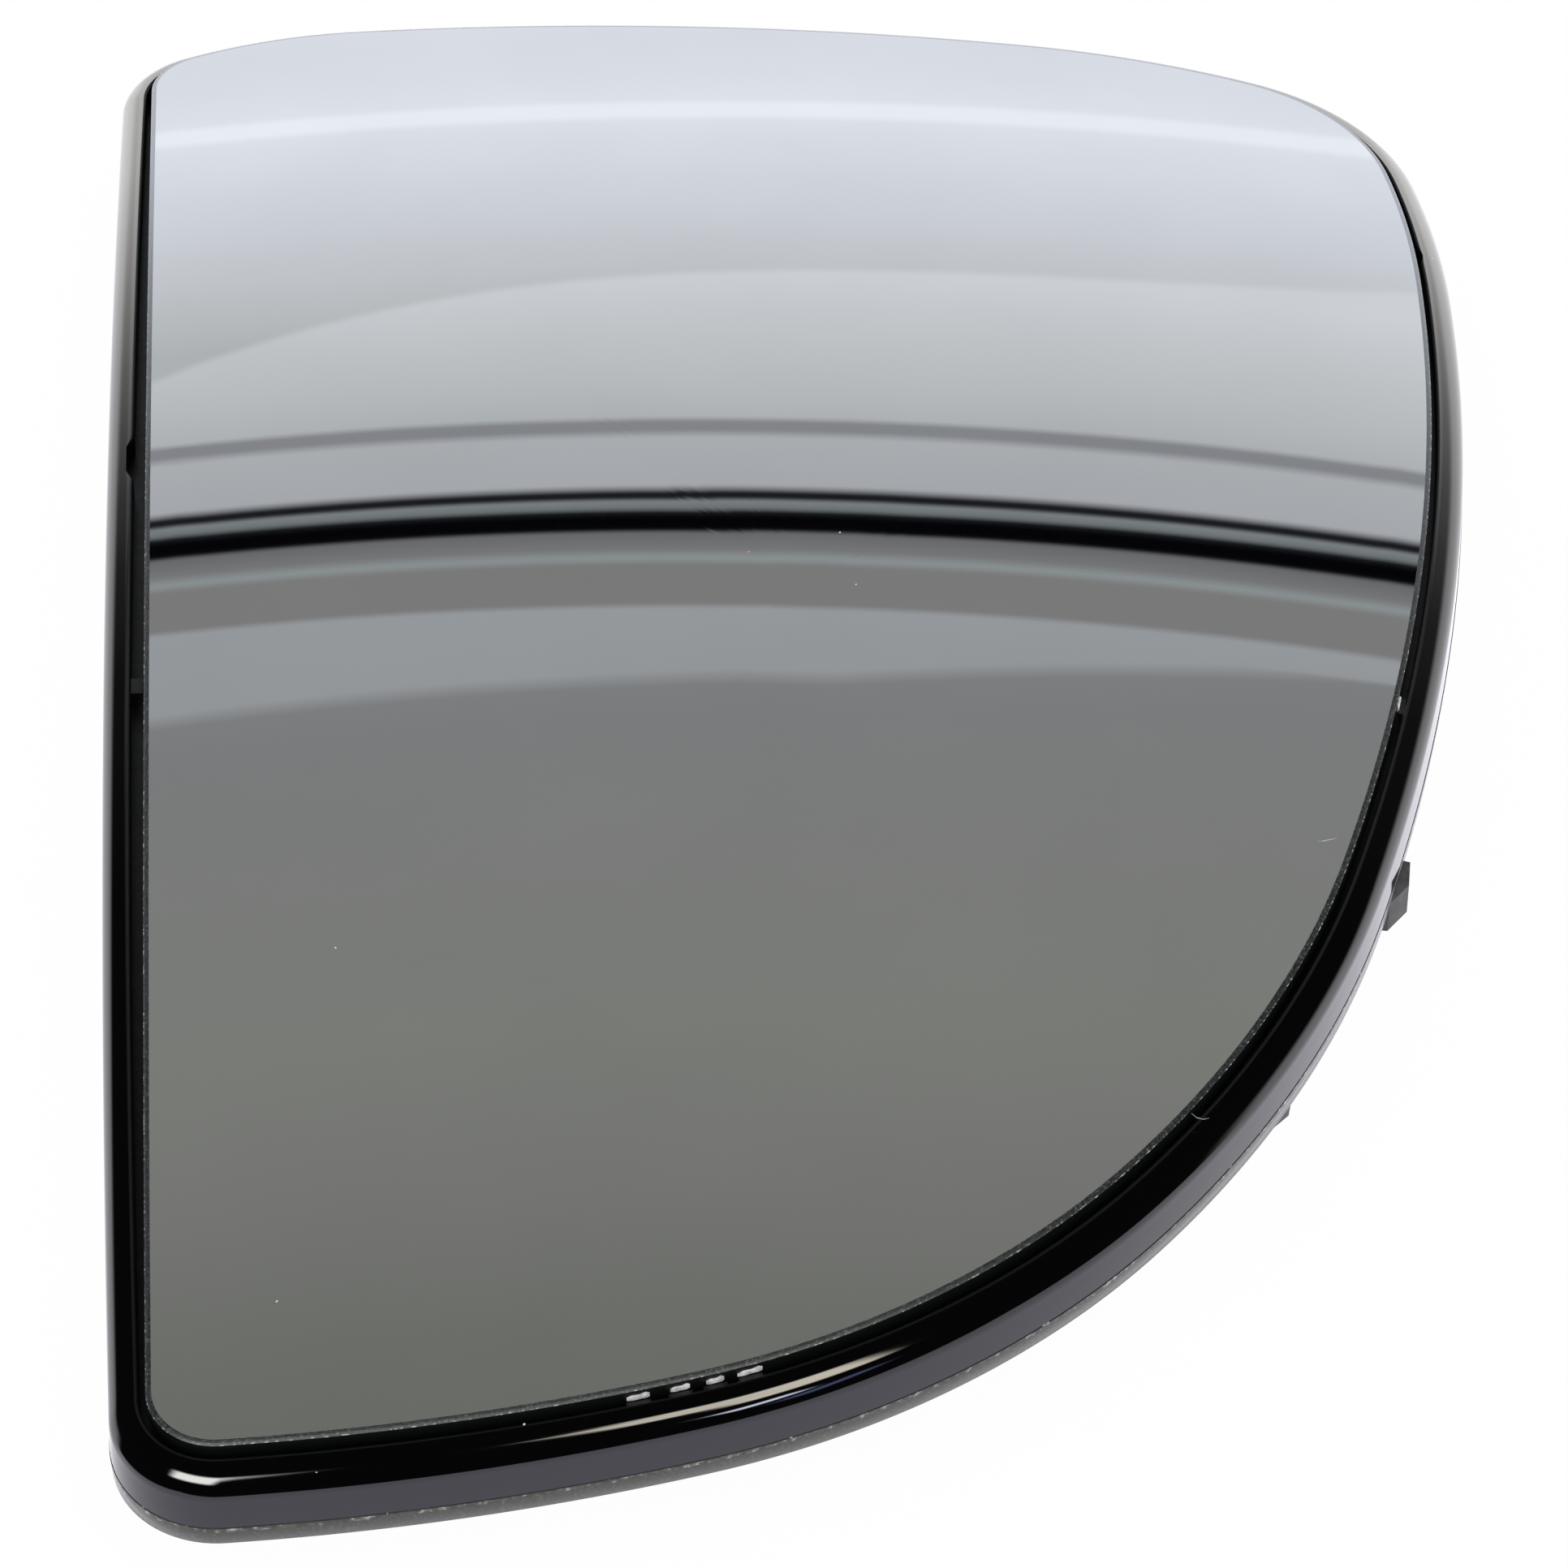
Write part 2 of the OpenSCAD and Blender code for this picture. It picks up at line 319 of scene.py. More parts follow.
lip = [
    (LIP_U, -PART_DROP - GROOVE), (LIP_U, -PART_DROP - 4 * GROOVE),
    (LIP_U - 2 * LIP_OUT, -RIM_DROP + 2 * GROOVE), (LIP_U - 2 * LIP_OUT - GROOVE, -RIM_DROP + GROOVE / 2)]
under = [
    (LIP_U - 2 * LIP_OUT - 3 * GROOVE, -RIM_DROP), (FOOT_U - SKIRT_T, -RIM_DROP),
    (WALL_U - SKIRT_T, -UNDER_V)]
rings = middle_rings(GLASS_LINE, -PAD_IN, -FLOOR_V, [0.2, 0.6, 1])
bead_ring = len(rings) + len(gap_side)
wall_ring = bead_ring + (90 - WALL_FROM) // BEAD_STEP
groove_ring = bead_ring + len(bead) + len(lean) - 1
lip_ring = groove_ring + 1 + len(groove)
under_ring = lip_ring + len(lip)
rings += [rim_ring(u, v) for u, v in gap_side + bead + lean + groove + lip + under]
rings += middle_rings(RIM_LINE, -PAD_IN, -UNDER_V, [1, 0.75, 0.5, 0.25])
bits = Bits()
bits.add(*wrapped(rings))

# Actuator ring: a whole band over six fingers with slots beside them, and the fingers' hooks

FINGER_IN = 0.6
ring_out = RING_R + RING_T
mid_r = RING_R + RING_T / 2
bits.turned(ring_section(RING_R, ring_out, SLOT_H, height_at(ring_out, -MID_V)), 0, 360, 180)
slot_a = math.degrees(SLOT_W / mid_r)
finger_a = math.degrees(FINGER_W / mid_r)
wall = ring_section(RING_R, ring_out, 0.0, SLOT_H + 0.01)
hook = [(RING_R - HOOK_IN, 1.4), (RING_R + RING_T / 3, 0.3), (RING_R + RING_T / 3, 3.4), (RING_R, 3.4),
        (RING_R - HOOK_IN, 2.6)]
for i in range(FINGERS):
    a = i * 360 / FINGERS
    bits.turned(wall, a - finger_a / 2, a + finger_a / 2, 12)
    bits.turned(wall, a + finger_a / 2 + slot_a, a + 360 / FINGERS - finger_a / 2 - slot_a, 16)
    bits.turned(hook, a - finger_a / 2 + FINGER_IN, a + finger_a / 2 - FINGER_IN, 12)

# Ribs, which get a little lower towards the rim

RIB_RISE = 0.6
low = height_at(RIB_RING_R, -UNDER_V - RIB_H)
high = low + RIB_H + PLATE_T / 2
bits.turned(ring_section(RIB_RING_R - RIB_T / 2, RIB_RING_R + RIB_T / 2, low, high), 0, 360, 180)
for arc_i, share in RIB_ENDS:
    x, y, a = spot(RIM_ARCS[arc_i], share)
    end = np.array([x, y]) + (WALL_U - SKIRT_T / 2) * way(a)
    r0, r1 = mid_r, float(np.linalg.norm(end))
    out = end / r1
    side = np.array([-out[1], out[0]]) * RIB_T / 2
    shape = [(r0, height_at(r0, -MID_V)), (r0, height_at(r0, -UNDER_V - RIB_H)),
             (r1, height_at(r1, -UNDER_V - RIB_H + RIB_RISE)), (r1, height_at(r1, -MID_V))]
    bits.loft([np.array([[*(out * r + s * side), z] for r, z in shape]) for s in (1, -1)])

# Feet, whose tops step in under the lip, and nibs

FOOT_PLAN = np.array([
    (0, FOOT_L * 0.27), (-FOOT_T, FOOT_L * 0.27), (-FOOT_T, -FOOT_L * 0.73), (-FOOT_T / 2, -FOOT_L * 0.73),
    (0, -FOOT_L * 0.26)])
FOOT_TUCK = 1.0
foot_faces = len(bits.faces)
for x, y, a, up in FEET:
    top = height_at(math.hypot(x, y), -RIM_DROP)
    rows = []
    for z, tuck in ((FOOT_Z + up, 0), (top - 0.2, 0), (top, FOOT_TUCK), (top + 0.3, FOOT_TUCK)):
        plan = np.where(FOOT_PLAN[:, :1] == 0, FOOT_PLAN - (tuck, 0), FOOT_PLAN)
        spots = (x, y) + plan[:, :1] * way(a) + plan[:, 1:] * way(a + 90)
        rows.append(np.column_stack([spots, np.full(len(plan), z)]))
    bits.loft(rows)
foot_faces = slice(foot_faces, len(bits.faces))


def gap_block(place, inner, drop):
    """Plan, bottom and top of a nib that stands in the gap, from a distance off the glass to the rim."""
    x, y, a = spot(RIM_ARCS[place[0]], place[1])
    z = height_at(math.hypot(x, y), 0)
    out = way(a)
    tan = np.array([-out[1], out[0]])
    corners = [np.array([x, y]) + out * u + tan * t * NIB_L / 2
               for u, t in ((inner, -1), (GAP + 0.5, -1), (GAP + 0.5, 1), (inner, 1))]
    return corners, z - FLOOR_V - 0.3, z - BEAD_DROP - drop


# On the bowed side the gap is wider, so the nib there reaches further in
NIB_DROP = 0.2
LEFT_REACH = 0.7
LEFT_DROP = 0.5
for place in NIBS:
    bits.prism(*gap_block(place, NIB_GAP, NIB_DROP))
bits.prism(*gap_block(LEFT_NIB, NIB_GAP - LEFT_REACH, LEFT_DROP))
holder = bits.mesh("holder_moulding", 32)
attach(holder, "root")
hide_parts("holder")


# Dust on the face and the bead, the white bits in the gap that are painted glints on the nibs, a scratch and
# a hair

def flake(bits, points, v0, v1):
    """A thin flat flake with the given plan outline, from v0 to v1 off the face."""
    bits.loft([on_ball(np.array(points), v) for v in (v0, v1)])


def disc(x, y, r, squash=1.0, turn=0.0, n=8):
    c, s = way(turn)
    out = []
    for a in np.arange(n) * 360 / n:
        p, q = r * way(a) * (1, squash)
        out.append((x + c * p - s * q, y + s * p + c * q))
    return out


def ribbon(points, width):
    """Plan outline of a thin line through the points, pointed at its ends."""
    p = np.array(points)
    t = np.gradient(p, axis=0)
    t /= np.linalg.norm(t, axis=1)[:, None]
    half = np.sin(np.linspace(0.15, math.pi - 0.15, len(p)))[:, None] * width / 2
    side = np.column_stack([-t[:, 1], t[:, 0]]) * half
    return p - side, p + side


def ribbon_on(bits, points, width, v0, v1):
    a, b = ribbon(points, width)
    bits.loft([np.concatenate([on_ball([p, q], v0), on_ball([q, p], v1)]) for p, q in zip(a, b)])


DUST_TOP = 0.012
DUST_FOOT = -0.02
GLINT_FOOT = -BEAD_DROP - 0.22
GLINT_U = 0.1
FACE_SPECKS = [
    (2.63, 7.7, 0.1), (3.53, 0.32, 0.08), (-43.93, -42.23, 0.09), (-49.48, -81.01, 0.11),
    (40.99, 31.43, 0.09)]
RIM_SPECKS = [(2, 0.192, 2.4, 0.1), (2, 0.622, 0.78, 0.12), (6, 0.3, 1.9, 0.1)]
dust = Bits()
for x, y, r in FACE_SPECKS:
    flake(dust, disc(x, y, r, 0.7, 30), DUST_FOOT, DUST_TOP)
for i, (arc_i, share, u, r) in enumerate(RIM_SPECKS):
    x, y, a = spot(RIM_ARCS[arc_i], share)
    x, y = np.array([x, y]) + way(a) * u
    bead_v = BEAD_C[1] + math.sqrt(BEAD_R ** 2 - max(u - BEAD_C[0], 0) ** 2)
    flake(dust, disc(x, y, r, 0.8, 40 * i), bead_v - 0.15, bead_v + 0.02)
specks = dust.mesh("dust_specks", 30)
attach(specks, "root")
# Along each painted glint: how far it strays outward, its place from -1 to 1 and its drop below the face
GLINT_EDGE = [
    (0.02, -1, 0.84), (0.05, -0.55, 0.68), (-0.01, 0.1, 0.74), (0.02, 0.6, 0.56), (-0.04, 1, 0.78)]
nib_glint_bits = Bits()
for (half, width), (arc_i, share) in zip(NIB_GLINTS, NIBS):
    x, y, a = spot(RIM_ARCS[arc_i], share)
    path = np.array([(x, y) + way(a) * (GLINT_U + k) + way(a + 90) * t * half for k, t, _ in GLINT_EDGE])
    sides = ribbon(path, width)
    rows = []
    for p, q, (_, _, drop) in zip(*sides, GLINT_EDGE):
        rows.append(np.concatenate([on_ball([p, q], GLINT_FOOT), on_ball([q, p], -drop)]))
    nib_glint_bits.loft(rows)
nib_glint_mesh = nib_glint_bits.mesh("painted_nib_glints", 30)
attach(nib_glint_mesh, "root")
scratch_bits = Bits()
SCRATCH = [(40.6, -35.1), (41.2, -35.06), (41.8, -34.93), (42.3, -34.75)]
HAIR = [(26.1, -66.4), (26.5, -66.9), (27.0, -67.1), (27.5, -67.0)]
ribbon_on(scratch_bits, SCRATCH, 0.14, DUST_FOOT, DUST_TOP)
ribbon_on(scratch_bits, HAIR, 0.07, DUST_FOOT, DUST_TOP)
scratch = scratch_bits.mesh("scratch_and_hair", 30)
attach(scratch, "root")
grit_bits = Bits()
flake(grit_bits, disc(-5.82, 5.54, 0.15, 0.8, 20), DUST_FOOT, DUST_TOP)
grit = grit_bits.mesh("orange_grit", 30)
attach(grit, "root")


# Materials

def lin(c):
    """The linear colour of a screen colour from 0 to 255."""
    return tuple(((x / 255 + 0.055) / 1.055) ** 2.4 if x > 10 else x / 255 / 12.92 for x in c) + (1.0,)


def material(name, color, rough, metal=0.0, ior=1.5):
    m = bpy.data.materials.new(name)
    m.use_nodes = True
    b = m.node_tree.nodes["Principled BSDF"]
    b.inputs["Base Color"].default_value = color
    b.inputs["Roughness"].default_value = rough
    b.inputs["Metallic"].default_value = metal
    b.inputs["IOR"].default_value = ior
    return m, m.node_tree, b


def noise(tree, scale, detail):
    coord = tree.nodes.new("ShaderNodeTexCoord")
    node = tree.nodes.new("ShaderNodeTexNoise")
    node.inputs["Scale"].default_value = scale
    node.inputs["Detail"].default_value = detail
    tree.links.new(coord.outputs["Object"], node.inputs["Vector"])
    return node.outputs["Fac"]


def fill_ramp(node, stops):
    ramp = node.color_ramp
    while len(ramp.elements) > 1:
        ramp.elements.remove(ramp.elements[0])
    for i, (x, c) in enumerate(stops):
        e = ramp.elements[0] if i == 0 else ramp.elements.new(x)
        e.position = x
        e.color = tuple(c[:3]) + (1.0,)


def mottle(tree, scale, detail, stops):
    """Noise in object space turned into the colours of a ramp."""
    ramp = tree.nodes.new("ShaderNodeValToRGB")
    fill_ramp(ramp, stops)
    tree.links.new(noise(tree, scale, detail), ramp.inputs[0])
    return ramp.outputs[0]


def mottled(name, rough, scale, detail, stops, metal=0.0):
    m, tree, bsdf = material(name, stops[0][1] + (1.0,), rough, metal)
    tree.links.new(mottle(tree, scale, detail, stops), bsdf.inputs["Base Color"])
    return m


# Painted sheen on the rim: a pale colour standing for the light it catches, from nothing at the near end to
# its full share at the far end. It reaches a little further down the right side, so its span runs along a
# slanted direction.
SHEEN_WAY = (0.133, 1.0, 0.0)
SHEEN_SPAN = (-0.1, 0.1)
SHEEN_STOPS = [
    (0.3, 0.0), (0.44, 0.005), (0.51, 0.018), (0.56, 0.05), (0.61, 0.1), (0.66, 0.18), (0.7, 0.26),
    (0.74, 0.36), (0.785, 0.48), (0.83, 0.6), (0.93, 0.68), (1.0, 0.7)]


def painted_sheen(tree, bsdf, base, sheen, much):
    """Lays the painted sheen over a colour or a socket, at so much of its usual share."""
    coord = tree.nodes.new("ShaderNodeTexCoord")
    reach = tree.nodes.new("ShaderNodeVectorMath")
    reach.operation = "DOT_PRODUCT"
    reach.inputs[1].default_value = SHEEN_WAY
    tree.links.new(coord.outputs["Object"], reach.inputs[0])
    span = tree.nodes.new("ShaderNodeMapRange")
    span.inputs["From Min"].default_value, span.inputs["From Max"].default_value = SHEEN_SPAN
    tree.links.new(reach.outputs["Value"], span.inputs["Value"])
    share = tree.nodes.new("ShaderNodeValToRGB")
    fill_ramp(share, [(x, (min(k * much, 1),) * 3) for x, k in SHEEN_STOPS])
    tree.links.new(span.outputs[0], share.inputs[0])
    blend = tree.nodes.new("ShaderNodeMix")
    blend.data_type = "RGBA"
    tree.links.new(share.outputs[0], blend.inputs[0])
    if isinstance(base, tuple):
        blend.inputs[6].default_value = base + (1.0,)
    else:
        tree.links.new(base, blend.inputs[6])
    blend.inputs[7].default_value = sheen + (1.0,)
    tree.links.new(blend.outputs[2], bsdf.inputs["Base Color"])


def bump(m, scale, height):
    tree = m.node_tree
    b = tree.nodes.new("ShaderNodeBump")
    b.inputs["Strength"].default_value = 1.0
    b.inputs["Distance"].default_value = height
    tree.links.new(noise(tree, scale, 3), b.inputs["Height"])
    tree.links.new(b.outputs[0], tree.nodes["Principled BSDF"].inputs["Normal"])


# Silvered face, with the faint cloudiness of a wiped mirror
WIPED_STOPS = [(0.3, (0.885, 0.887, 0.885)), (0.7, (0.915, 0.915, 0.912))]
mirror = mottled("mirror_silver", 0.012, 60, 4, WIPED_STOPS, metal=1.0)

# Ground glass edge: matte, mottled blue grey, with a dark line inside it and painted glints of light at the
# arris; the painted sheen makes it paler towards the far end
GROUND_STOPS = [
    (0.36, (0.003, 0.004, 0.005)), (0.46, (0.009, 0.012, 0.014)), (0.6, (0.024, 0.028, 0.031)),
    (0.7, (0.09, 0.1, 0.105))]
ARRIS_GLINT_STOPS = [(0.42, (0.012, 0.014, 0.015)), (0.55, (0.05, 0.055, 0.056)), (0.66, (0.42, 0.43, 0.43))]
LINE_STOPS = [(0.45, (0.004, 0.005, 0.006)), (0.62, (0.06, 0.066, 0.068))]
# Pale colour of the painted sheen on the glass edge
GROUND_SHEEN_COLOR = (0.5, 0.53, 0.6)


def ground_glass(name, rough, scale, detail, stops, much):
    m, tree, bsdf = material(name, stops[0][1] + (1.0,), rough)
    painted_sheen(tree, bsdf, mottle(tree, scale, detail, stops), GROUND_SHEEN_COLOR, much)
    return m


ground = ground_glass("ground_edge", 0.5, 4200, 2, GROUND_STOPS, 1.25)
dark_line = ground_glass("silver_edge_line", 0.4, 3200, 1, LINE_STOPS, 1.3)
# The arris's bright spots are painted glints of light
arris = ground_glass("ground_arris_glint", 0.5, 2800, 2, ARRIS_GLINT_STOPS, 1.3)
glass_side, _, _ = material("glass_side", (0.004, 0.005, 0.005, 1), 0.3)

pad_mat = mottled("foam", 0.9, 900, 3, [(0.35, (0.008, 0.008, 0.009)), (0.65, (0.035, 0.035, 0.038))])
bump(pad_mat, 1400, 0.00015)

# Dust, painted glints on the nibs, and marks
dust_mat = mottled("dust", 0.8, 2500, 2, [(0.3, (0.5, 0.5, 0.48)), (0.7, (0.85, 0.85, 0.83))])
# White bits that are painted glints of light on the nibs' tops
painted_nib_glint = mottled("painted_nib_glint", 0.6, 1500, 2, [(0.36, (0.55, 0.57, 0.57)), (0.6, (0.95, 0.97, 0.97))])
pale_mark = mottled("pale_mark", 0.6, 2500, 2, [(0.3, (0.24, 0.25, 0.26)), (0.7, (0.44, 0.45, 0.46))])
orange = mottled("orange_speck", 0.7, 2500, 2, [(0.3, (0.3, 0.13, 0.05)), (0.7, (0.5, 0.26, 0.12))])

# Moulded black plastic, polished on the bead
BLACK = (0.0008, 0.0008, 0.001)
# The wall's black carries a painted blue tint of the sheet's reflection
WALL_BLACK_PAINTED_BLUE = (0.0012, 0.0012, 0.01)
POLISH = 0.055
# Pale colour of the painted sheen on the bead and the wall
SHEEN_COLOR = (0.62, 0.61, 0.59)
LIP_STOPS = [(0.3, (0.024, 0.0225, 0.017)), (0.6, (0.044, 0.0415, 0.034)), (0.78, (0.12, 0.116, 0.1))]
# The lip's top edge is pale where it catches light: a painted highlight
LIP_EDGE_GLINT_STOPS = [(0.4, (0.02, 0.019, 0.012)), (0.56, (0.07, 0.069, 0.062)), (0.7, (0.4, 0.4, 0.39))]
PARTING_STOPS = [(0.0, (0.002, 0.002, 0.003)), (0.66, (0.005, 0.005, 0.006)), (0.7, (0.4, 0.4, 0.4))]
# The feet are of the black plastic; their grey is painted light where they catch it
FOOT_LIT_STOPS = [(0.35, (0.05, 0.05, 0.054)), (0.65, (0.085, 0.085, 0.09))]
# The bead and the wall take the painted sheen, paler towards the far end
black, tree, bsdf = material("gloss_black_plastic", BLACK + (1,), POLISH)
painted_sheen(tree, bsdf, BLACK, SHEEN_COLOR, 1.0)
# Same plastic as the bead, with the painted blue tint of the reflected sheet
wall_mat, tree, bsdf = material("wall_plastic_painted_blue", WALL_BLACK_PAINTED_BLUE + (1,), POLISH)
painted_sheen(tree, bsdf, WALL_BLACK_PAINTED_BLUE, SHEEN_COLOR, 1.0)
pocket, _, _ = material("pocket_black", BLACK + (1,), 0.4)
bump(pocket, 900, 0.00004)
parting = mottled("parting_line", 0.5, 1300, 2, PARTING_STOPS)
lip_mat = mottled("lip_plastic", 0.22, 3600, 3, LIP_STOPS)
# Painted highlight along the lip's top edge
lip_edge_glint = mottled("lip_edge_painted_highlight", 0.3, 1700, 3, LIP_EDGE_GLINT_STOPS)
# Grey of the feet: painted light on the black plastic
foot_painted_light = mottled("foot_plastic_painted_light", 0.6, 900, 2, FOOT_LIT_STOPS)

for m in (mirror, dark_line, ground, arris, glass_side):
    glass.data.materials.append(m)
glass.data.polygons.foreach_set("material_index", kind)
finishes = [black, parting, lip_mat, pocket, lip_edge_glint, wall_mat, foot_painted_light]
bands = [
    (bead_ring, wall_ring, black), (wall_ring, groove_ring, wall_mat), (groove_ring, lip_ring, parting),
    (lip_ring, lip_ring + 1, lip_edge_glint), (lip_ring + 1, under_ring, lip_mat)]
for m in finishes:
    holder.data.materials.append(m)
zone = np.full(len(holder.data.polygons), finishes.index(pocket), dtype=np.int32)
for first, last, finish in bands:
    zone[first * ring_n:last * ring_n] = finishes.index(finish)
zone[foot_faces] = finishes.index(foot_painted_light)
holder.data.polygons.foreach_set("material_index", zone)
specks.data.materials.append(dust_mat)
nib_glint_mesh.data.materials.append(painted_nib_glint)
scratch.data.materials.append(pale_mark)
grit.data.materials.append(orange)
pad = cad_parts["adhesive_pad"]
pad.data.materials.clear()
pad.data.materials.append(pad_mat)


# World: a pale studio with dark bars, seen in the glass and the gloss, and white behind the object

class Nodes:
    """Short ways to add nodes to a tree of its own."""

    def __init__(self, owner):
        owner.use_nodes = True
        self.tree = owner.node_tree
        self.tree.nodes.clear()

    def add(self, kind, *inputs):
        node = self.tree.nodes.new(kind)
        for socket, value in zip(node.inputs, inputs):
            self.feed(socket, value)
        return node

    def feed(self, socket, value):
        if isinstance(value, bpy.types.NodeSocket):
            self.tree.links.new(value, socket)
        else:
            socket.default_value = value

    def math(self, op, *values):
        node = self.add("ShaderNodeMath", *values)
        node.operation = op
        return node.outputs[0]

    def mix(self, share, a, b):
        node = self.add("ShaderNodeMix")
        node.data_type = "RGBA"
        for k, value in ((0, share), (6, a), (7, b)):
            self.feed(node.inputs[k], value)
        return node.outputs[2]

    def ramp_up(self, value, low, high):
        """0 at low and 1 at high, with a smooth step between them."""
        node = self.add("ShaderNodeMapRange", value, low, high)
        node.interpolation_type = "SMOOTHSTEP"
        return node.outputs[0]


world = bpy.data.worlds.new("studio")
scene.world = world
sky = Nodes(world)

# The bars' heading in degrees, how much they bow, where the studio fades out to the sides and towards the
# camera, and the share of the light that the silver gives back
HEADING = 9.9
BOW = 0.577
SIDE = (0.29, 0.4)
FRONT = (0.05, 0.25)
SILVER = 0.9
dx, dy, dz = sky.add("ShaderNodeSeparateXYZ", sky.add("ShaderNodeTexCoord").outputs["Generated"]).outputs


def along(direction):
    x, y, z = (sky.math("MULTIPLY", d, v) for d, v in zip((dx, dy, dz), direction))
    return sky.math("ADD", sky.math("ADD", x, y), z)


ahead = along((math.sin(math.radians(HEADING)), math.cos(math.radians(HEADING)), 0))
flat = sky.math("SQRT", sky.math("SUBTRACT", 1.0001, sky.math("MULTIPLY", dz, dz)))
facing = sky.math("MAXIMUM", sky.math("DIVIDE", ahead, flat), 0.5)
rise = sky.math("DIVIDE", sky.math("DIVIDE", dz, flat), sky.math("POWER", facing, BOW))

# Colours by height: the pale sheet, what lies below its edge, the bars, and all that is lower still
SHEET = (0.4, 0.723)
SHEET_STOPS = [
    (0.40, (228, 232, 237)), (0.51, (214, 218, 227)), (0.53, (216, 220, 229)), (0.546, (220, 224, 233)),
    (0.5492, (231, 235, 243)), (0.5553, (231, 235, 242)), (0.559, (219, 223, 231)), (0.566, (216, 220, 229)),
    (0.58, (212, 216, 225)), (0.593, (207, 211, 220)), (0.607, (203, 207, 215)), (0.62, (199, 203, 210)),
    (0.632, (195, 198, 204)), (0.645, (191, 194, 200)), (0.658, (185, 189, 193)), (0.671, (180, 184, 187)),
    (0.685, (173, 177, 180)), (0.723, (168, 172, 175))]
BELOW_STOPS = [
    (0.40, (206, 209, 215)), (0.65, (203, 206, 212)), (0.662, (199, 202, 207)), (0.675, (194, 198, 203)),
    (0.688, (190, 194, 197)), (0.702, (186, 190, 193)), (0.715, (182, 186, 189)), (0.723, (179, 183, 186))]
WIDE = (0.944, 2.4)
WIDE_STOPS = [
    (0.944, (122, 123, 124)), (1.165, (121, 123, 119)), (1.305, (116, 117, 114)), (1.446, (107, 109, 105)),
    (1.606, (103, 104, 100)), (1.9, (50, 50, 50)), (2.4, (34, 34, 36))]
FINE = (0.723, 0.944)
FINE_STOPS = [
    (0.723, (179, 183, 186)), (0.7395, (172, 176, 179)), (0.743, (129, 131, 136)), (0.748, (129, 131, 136)),
    (0.753, (168, 172, 176)), (0.783, (164, 167, 172)), (0.788, (19, 20, 26)), (0.791, (19, 20, 26)),
    (0.7937, (122, 127, 130)), (0.7977, (108, 113, 116)), (0.8007, (18, 20, 24)), (0.8042, (3, 3, 5)),
    (0.8117, (3, 3, 5)), (0.8142, (102, 104, 107)), (0.8243, (116, 117, 119)), (0.8303, (138, 145, 147)),
    (0.8353, (121, 121, 121)), (0.8604, (121, 121, 122)), (0.8644, (148, 152, 156)),
    (0.9106, (146, 150, 153)), (0.9207, (124, 125, 127)), (0.944, (122, 123, 124))]


def ramp(span, stops):
    """The colours of a span of heights, as the silver shows them."""
    at = sky.add("ShaderNodeMapRange", bent, *span)
    node = sky.add("ShaderNodeValToRGB", at.outputs[0])
    places = [(t - span[0]) / (span[1] - span[0]) for t, _ in stops]
    fill_ramp(node, [(x, [v / SILVER for v in lin(c)[:3]]) for x, (_, c) in zip(places, stops)])
    return node.outputs[0]


def patch(az, el, tilt, half_w, half_h, soft):
    """1 inside a rectangle of the sky round a direction, with soft edges. Angles in degrees."""
    a, e, t = (math.radians(v) for v in (az, el, tilt))
    out = Vector((math.sin(a) * math.cos(e), math.cos(a) * math.cos(e), math.sin(e)))
    side = Vector((math.cos(a), -math.sin(a), 0.0))
    top = out.cross(side)
    side, top = side * math.cos(t) + top * math.sin(t), top * math.cos(t) - side * math.sin(t)
    w, h, d = (math.sin(math.radians(v)) for v in (half_w, half_h, soft))
    inside = [sky.ramp_up(sky.math("ABSOLUTE", along(v)), size + d, size - d)
              for v, size in ((side, w), (top, h))]
    near = sky.math("GREATER_THAN", along(out), 0.0)
    return sky.math("MULTIPLY", sky.math("MULTIPLY", *inside), near)


# Behind the camera the room is dark, but for a window, a ceiling lamp and a small screen.
# Place, tilt, half width, half height and softness in degrees, and colour
DARK_ROOM = (0.018, 0.018, 0.022, 1.0)
LOW_GLOW = (1.5, 1.5, 1.55, 1.0)
PATCHES = [
    ((-145, 41, 0, 16, 11, 4), (19.0, 18.8, 18.2, 1.0)),
    ((145, 53, 0, 8, 11, 2.5), (12.5, 11.7, 9.8, 1.0)),
    ((156, 54, 8, 6, 6, 2), (11.5, 10.7, 9.1, 1.0)),
    ((154, 24, 30, 5, 2.6, 1.5), (13.0, 14.0, 16.5, 1.0)),
    ((146, 16, 40, 7, 2.5, 2.5), (1.3, 1.5, 3.0, 1.0))]
# The pale sheet's edge hangs lower on the left, by a cubic of the way to the side. The lowest pale band is
# wider on the left and runs out on the right, because what lies under it is moved, from inside it on.
SIDE_TURN = math.radians(3)
HEM = (-3.673, 0.623, -0.0653, 0.6497)
HEM_SOFT = 0.003
RUN_RIGHT = 0.19
RUN_LEFT = 0.063
RUN_FROM = 0.03
RUN_BAND = (0.868, 0.882)
aside = sky.math("DIVIDE", along((math.cos(SIDE_TURN), -math.sin(SIDE_TURN), 0)), flat)
hem = HEM[0]
for factor in HEM[1:]:
    hem = sky.math("ADD", sky.math("MULTIPLY", aside, hem), factor)
below = sky.ramp_up(sky.math("SUBTRACT", rise, hem), -HEM_SOFT, HEM_SOFT)
right_run = sky.math("MULTIPLY", sky.math("MAXIMUM", aside, RUN_FROM), RUN_RIGHT)
left_run = sky.math("MULTIPLY", sky.math("MINIMUM", aside, 0.0), RUN_LEFT)
run = sky.math("MULTIPLY", sky.math("ADD", right_run, left_run), sky.ramp_up(rise, *RUN_BAND))
bent = sky.math("ADD", rise, run)
high = sky.mix(below, ramp(SHEET, SHEET_STOPS), ramp(SHEET, BELOW_STOPS))
seen = sky.mix(sky.math("GREATER_THAN", bent, FINE[0]), high, ramp(FINE, FINE_STOPS))
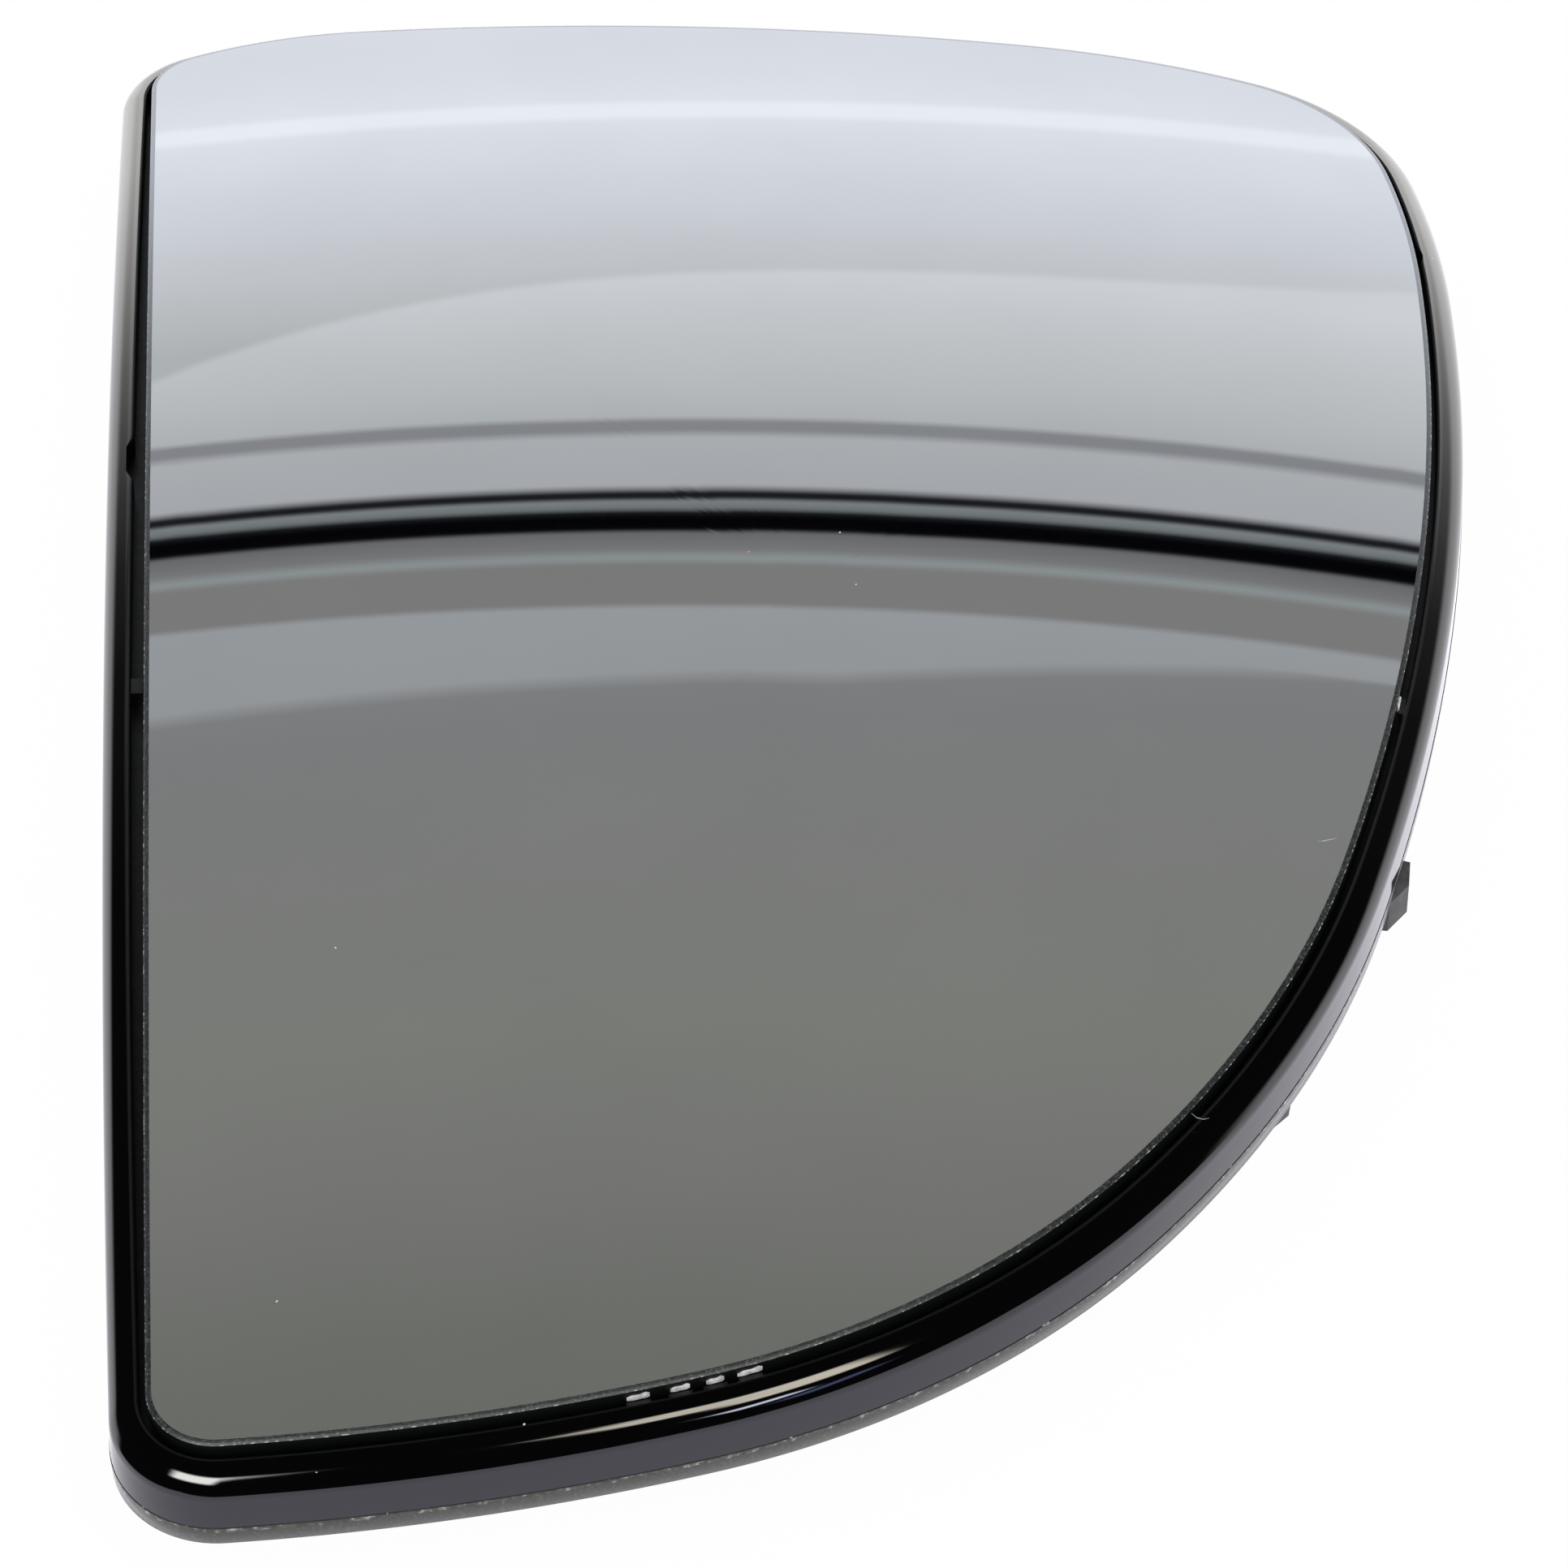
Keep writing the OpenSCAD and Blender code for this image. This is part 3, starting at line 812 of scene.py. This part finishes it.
seen = sky.mix(sky.math("GREATER_THAN", bent, WIDE[0]), seen, ramp(WIDE, WIDE_STOPS))

# Beside the studio a low glow that is higher ahead, and behind the camera the dark room with its patches
GLOW_AHEAD = 0.45
GLOW_RISE = 0.8
GLOW_FADE = (0.12, -0.15)
glow_top = sky.math("MULTIPLY", sky.math("MAXIMUM", sky.math("SUBTRACT", ahead, GLOW_AHEAD), 0.0), GLOW_RISE)
sides = sky.mix(sky.ramp_up(sky.math("SUBTRACT", dz, glow_top), *GLOW_FADE), DARK_ROOM, LOW_GLOW)
seen = sky.mix(sky.ramp_up(sky.math("ABSOLUTE", aside), SIDE[1], SIDE[0]), sides, seen)
seen = sky.mix(sky.ramp_up(ahead, *FRONT), DARK_ROOM, seen)
for place, color in PATCHES:
    seen = sky.mix(patch(*place), seen, color)
WHITE = (1.0, 1.0, 1.0, 1.0)
glossy_ray = sky.add("ShaderNodeLightPath").outputs["Is Glossy Ray"]
back = sky.add("ShaderNodeBackground", sky.mix(glossy_ray, WHITE, seen), 1.0)
sky.add("ShaderNodeOutputWorld", back.outputs[0])

# Floor: a white sheet that keeps the object's shadow and ends a little beyond its front and sides

SHEET_EDGES = {"left": -0.083, "right": 0.073, "front": -0.126, "back": 3}
SHEET_DROP = 0.0002
PAPER = (0.99, 0.99, 0.99, 1.0)
# The camera and the gloss see mostly the sheet's own light, and the gloss sees it brighter and a little blue
OWN_LIGHT = 0.98
GLOSS_EXTRA = 0.36
GLOSS_TINT = (0.98, 0.98, 1.04, 1.0)
corners = [(SHEET_EDGES[a], SHEET_EDGES[b], 0) for a, b in (
    ("left", "front"), ("right", "front"), ("right", "back"), ("left", "back"))]
floor_me = bpy.data.meshes.new("floor")
floor_me.from_pydata(corners, [], [(0, 1, 2, 3)])
floor = bpy.data.objects.new("floor", floor_me)
scene.collection.objects.link(floor)
floor.location.z = -SHEET_DROP
floor_mat = bpy.data.materials.new("floor_white")
paper = Nodes(floor_mat)
path = paper.add("ShaderNodeLightPath")
camera_ray, glossy_ray = path.outputs["Is Camera Ray"], path.outputs["Is Glossy Ray"]
plain = paper.add("ShaderNodeBsdfDiffuse", PAPER)
glow = paper.add("ShaderNodeEmission", paper.mix(glossy_ray, WHITE, GLOSS_TINT),
                 paper.math("MULTIPLY_ADD", glossy_ray, GLOSS_EXTRA, 1.0))
share = paper.math("MULTIPLY", paper.math("MAXIMUM", camera_ray, glossy_ray), OWN_LIGHT)
blend = paper.add("ShaderNodeMixShader", share, plain.outputs[0], glow.outputs[0])
paper.add("ShaderNodeOutputMaterial", blend.outputs[0])
floor_me.materials.append(floor_mat)

# Camera

PHOTO_PX = 1932
FOCAL_PX = 8000
SENSOR = 36.0
CAMERA_AT = Vector((-33.62, -442.54, 393.03)) * MM
RIGHT = Vector((0.99761, -0.06909, 0.0))
UP = Vector((0.04623, 0.66753, 0.74314))
FORWARD = Vector((0.05134, 0.74137, -0.66913))
cam_data = bpy.data.cameras.new("camera")
cam = bpy.data.objects.new("camera", cam_data)
scene.collection.objects.link(cam)
cam_data.sensor_width = SENSOR
cam_data.lens = FOCAL_PX / PHOTO_PX * SENSOR
cam_data.clip_start = 0.01
cam_data.clip_end = 20
cam.matrix_world = Matrix.Translation(CAMERA_AT) @ Matrix((RIGHT, UP, -FORWARD)).transposed().to_4x4()
scene.camera = cam
scene.view_settings.view_transform = "Standard"
